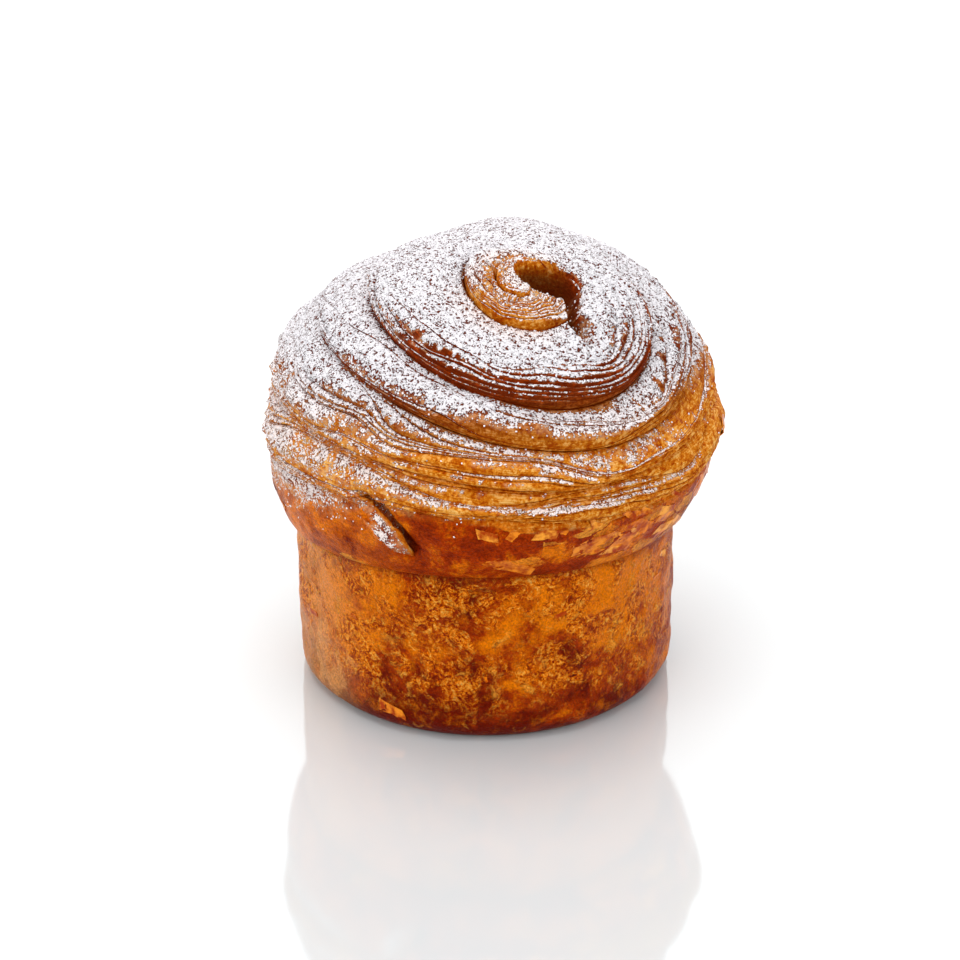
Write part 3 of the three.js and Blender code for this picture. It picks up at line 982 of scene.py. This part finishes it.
def addPeel(bm, surface, direction, height, length, width, turn, lift, rng):
    angle = math.radians(direction)
    found, facing = seenLevel(surface, angle, height)
    if found is None:
        return
    side = Vector((-math.sin(angle), math.cos(angle), 0))
    up = facing.cross(side).normalized()
    side = up.cross(facing).normalized()
    tone = bm.verts.layers.float["tone"]
    spin, shade, ragged = math.radians(turn), rng.uniform(0, 1), peels.ragged
    corners = [[Vector([rng.uniform(-1, 1) for _ in "uw"]) * ragged for _ in range(2)] for _ in range(2)]
    for v in addGrid(bm, peels.steps):
        right, far = (v.co.x + 1) / 2, (v.co.y + 1) / 2
        shift = corners[0][0].lerp(corners[0][1], far).lerp(corners[1][0].lerp(corners[1][1], far), right)
        free = smooth(-0.2, 1.0, v.co.x)  # the far end stands off
        u = (v.co.x + shift.x + rng.uniform(-0.1, 0.1)) * length / 2
        w = (v.co.y + shift.y + rng.uniform(-0.2, 0.2)) * width / 2
        flat = found + (side * (u * math.cos(spin) - w * math.sin(spin))
                        + up * (u * math.sin(spin) + w * math.cos(spin)) + facing * 0.5) * mm
        near, out, _, _ = surface.find_nearest(flat)
        v.co = near + out * (peels.gap + lift * float(free)) * mm
        v[tone] = shade


# The flap of skin on the left of the slit, in millimetres; its right edge stands off.
flap = Values(wide=9.5, over=0.9, lift=1.2, sunk=0.6, thickness=0.5, steps=(30, 14), dust=1.0)


def buildFlap(crown):
    surface = surfaceOf(crown.data)
    bm = bmesh.new()
    dustLayer = bm.verts.layers.float.new("dust")
    skinLayer = bm.verts.layers.float.new("skin")
    addGrid(bm, flap.steps)
    for v in bm.verts:
        down, across = (v.co.x + 1) / 2, (v.co.y + 1) / 2
        bulge = math.sin(math.pi * min(1, max(0, 0.08 + 0.87 * down)))
        beside = flap.over * bulge - (1 - across) * flap.wide * (0.35 + 0.65 * bulge)
        beside += 0.35 * float(noise(down * 9, across, 3)) * across
        angle = math.radians(slitLine(down) + math.degrees(beside / form.crownRadius))
        seen = math.radians(slitLine(down) + math.degrees(min(beside, -1.1) / form.crownRadius))
        height = mix(slit.fromHeight, slit.toHeight, down)
        found, _ = seenLevel(surface, seen, height)
        sunk = (1 - float(smooth(0, 0.3, across))) + float(smooth(0.9, 1, down)) + float(smooth(0.1, 0, down))
        off = flap.lift * bulge * float(smooth(0.35, 1, across)) - flap.sunk * sunk
        reach = math.hypot(found.x, found.y) + off * mm
        v.co = (math.cos(angle) * reach, math.sin(angle) * reach, height * mm)
        patch = 0.6 + 0.8 * float(noise(down * 5 + 2, across * 4, 1))
        band = float(within(across, (0.1, 0.4), (0.88, 0.97)) * (1 - smooth(0.75, 1, down)))
        v[dustLayer] = min(1, max(0, flap.dust * patch * band))
        v[skinLayer] = 1 - 0.8 * float(smooth(0.8, 0.95, across))
    mesh = thicken(bm, flap.thickness, "flap")
    mesh.shade_smooth()
    return addObject("flap", mesh)


def buildPeels(pieces):
    rng = random.Random(peels.seed)
    surface = surfaceOf(*[piece.data for piece in pieces])
    bm = bmesh.new()
    bm.verts.layers.float.new("tone")
    for direction, height, spreadAngle, spreadHeight, count, shortest, longest, lift in peels.fields:
        for _ in range(count):
            length = rng.uniform(shortest, longest)
            addPeel(bm, surface, direction + rng.uniform(-1, 1) * spreadAngle,
                    height + rng.uniform(-1, 1) * spreadHeight, length, length * rng.uniform(0.25, 0.6),
                    rng.gauss(-5, 25), lift * rng.uniform(0.3, 1), rng)
    for direction, height, length, width, turn, lift in peels.single:
        addPeel(bm, surface, direction, height, length, width, turn, lift, rng)
    return addObject("peels", thicken(bm, peels.thickness, "peels"))


# Loose grains and clumps on top of the sifted sugar.
grains = Values(perSquareMetre=1.08e6, smallest=0.1, largest=0.26, turn=6.28, seed=3)


def buildGrains(crown):
    bm = bmesh.new()
    bmesh.ops.create_icosphere(bm, subdivisions=1, radius=mm)
    grain = bpy.data.objects.new("grain", toMesh(bm, "grain"))
    tree, given = newGroup("siftSugar", ("Geometry",), ("Geometry",), "Geometry")
    dust = put("InputNamedAttribute", {"Name": "dust"}, tree, "GeometryNode", data_type="FLOAT")
    density = times(dust.outputs["Attribute"], grains.perSquareMetre)
    sockets = {"Mesh": given[0], "Density": density, "Seed": grains.seed}
    scatter = put("DistributePointsOnFaces", sockets, tree, "GeometryNode")
    source = put("ObjectInfo", {"Object": grain}, tree, "GeometryNode")
    sockets = {"Min": (grains.smallest,) * 3, "Max": (grains.largest,) * 3}
    size = put("RandomValue", sockets, tree, "FunctionNode", data_type="FLOAT_VECTOR")
    turn = put("RandomValue", {"Max": (grains.turn,) * 3}, tree, "FunctionNode", data_type="FLOAT_VECTOR")
    sockets = {"Points": scatter.outputs["Points"], "Instance": source.outputs["Geometry"],
               "Rotation": turn.outputs["Value"], "Scale": size.outputs["Value"]}
    place = put("InstanceOnPoints", sockets, tree, "GeometryNode")
    real = put("RealizeInstances", {0: place.outputs[0]}, tree, "GeometryNode")
    put("GroupOutput", {0: real.outputs[0]}, prefix="Node")
    holder = addObject("sifted", crown.data)
    holder.modifiers.new("sift", "NODES").node_group = tree
    bpy.context.view_layer.update()
    finished = bpy.data.meshes.new_from_object(holder.evaluated_get(bpy.context.evaluated_depsgraph_get()))
    bpy.data.objects.remove(holder)
    bpy.data.objects.remove(grain)
    finished.name = "sugarGrains"
    return addObject("sugarGrains", finished)


def dress(piece, material):
    piece.data.materials.clear()
    piece.data.materials.append(material)
    print(piece.name + ":", len(piece.data.polygons), "faces")
    return piece


print("crown: building")
crown = buildCrown()
addDusting(crown)
dress(crown, makeCrownMaterial())
wall = dress(buildWall(), makeWallMaterial())
flapPiece = dress(buildFlap(crown), crown.data.materials[0])
peelings = dress(buildPeels((crown, wall)), makePeelMaterial())
sugar = dress(buildGrains(crown), makeGrainMaterial())
for piece in (crown, wall, flapPiece, peelings, sugar):
    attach(piece, "root")
    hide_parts("brioche")

# A glossy pale floor, a white backdrop, and soft light from above and from both sides.
studio = Values(
    floorSize=8.0,
    floorColour=(0.62, 0.65, 0.66, 1),
    floorRoughness=0.07,
    floorIndex=2.0,
    world=0.52,
    lights=(  # name, place, width, height, power
        ("backdrop", (0.0, 1.7, 0.8), 3.2, 1.7, 25.0),
        ("topLight", (-0.06, 0.0, 0.9), 0.7, 0.7, 5.2),
        ("leftLight", (-0.7, -0.65, 0.45), 1.0, 0.8, 5.6),
        ("rightLight", (0.7, -0.6, 0.4), 1.0, 0.8, 4.4),
    ),
)


def buildStudio():
    bm = bmesh.new()
    addGrid(bm, (1, 1), studio.floorSize / 2)
    floor = addObject("floor", toMesh(bm, "floor"))
    material, tree = newMaterial("paleFloor")
    finishMaterial(tree, studio.floorColour, studio.floorRoughness, index=studio.floorIndex)
    floor.data.materials.append(material)
    world = bpy.data.worlds.new("white")
    world.use_nodes = True
    background = world.node_tree.nodes["Background"]
    background.inputs["Color"].default_value = (1, 1, 1, 1)
    background.inputs["Strength"].default_value = studio.world
    bpy.context.scene.world = world
    for name, place, width, height, power in studio.lights:
        data = bpy.data.lights.new(name, "AREA")
        data.shape = "RECTANGLE"
        data.size = width
        data.size_y = height
        data.energy = power
        light = addObject(name, data)
        light.location = place
        light.rotation_euler = (-light.location.normalized()).to_track_quat("-Z", "Y").to_euler()


# The photograph's view, worked out from the outline: degrees down, metres, and millimetres of lens.
view = Values(down=24.5, distance=0.430, aimHeight=0.038, sideways=-0.00103, lens=81.2)


def buildCamera():
    data = bpy.data.cameras.new("camera")
    data.lens = view.lens
    data.sensor_width = 36
    data.clip_end = 20
    camera = addObject("camera", data)
    down = math.radians(view.down)
    camera.location = (view.sideways, -view.distance * math.cos(down),
                       view.aimHeight + view.distance * math.sin(down))
    camera.rotation_euler = (quarter - down, 0, 0)
    bpy.context.scene.camera = camera


buildStudio()
buildCamera()
bpy.context.scene.view_settings.view_transform = "Standard"
print("studio: ready")
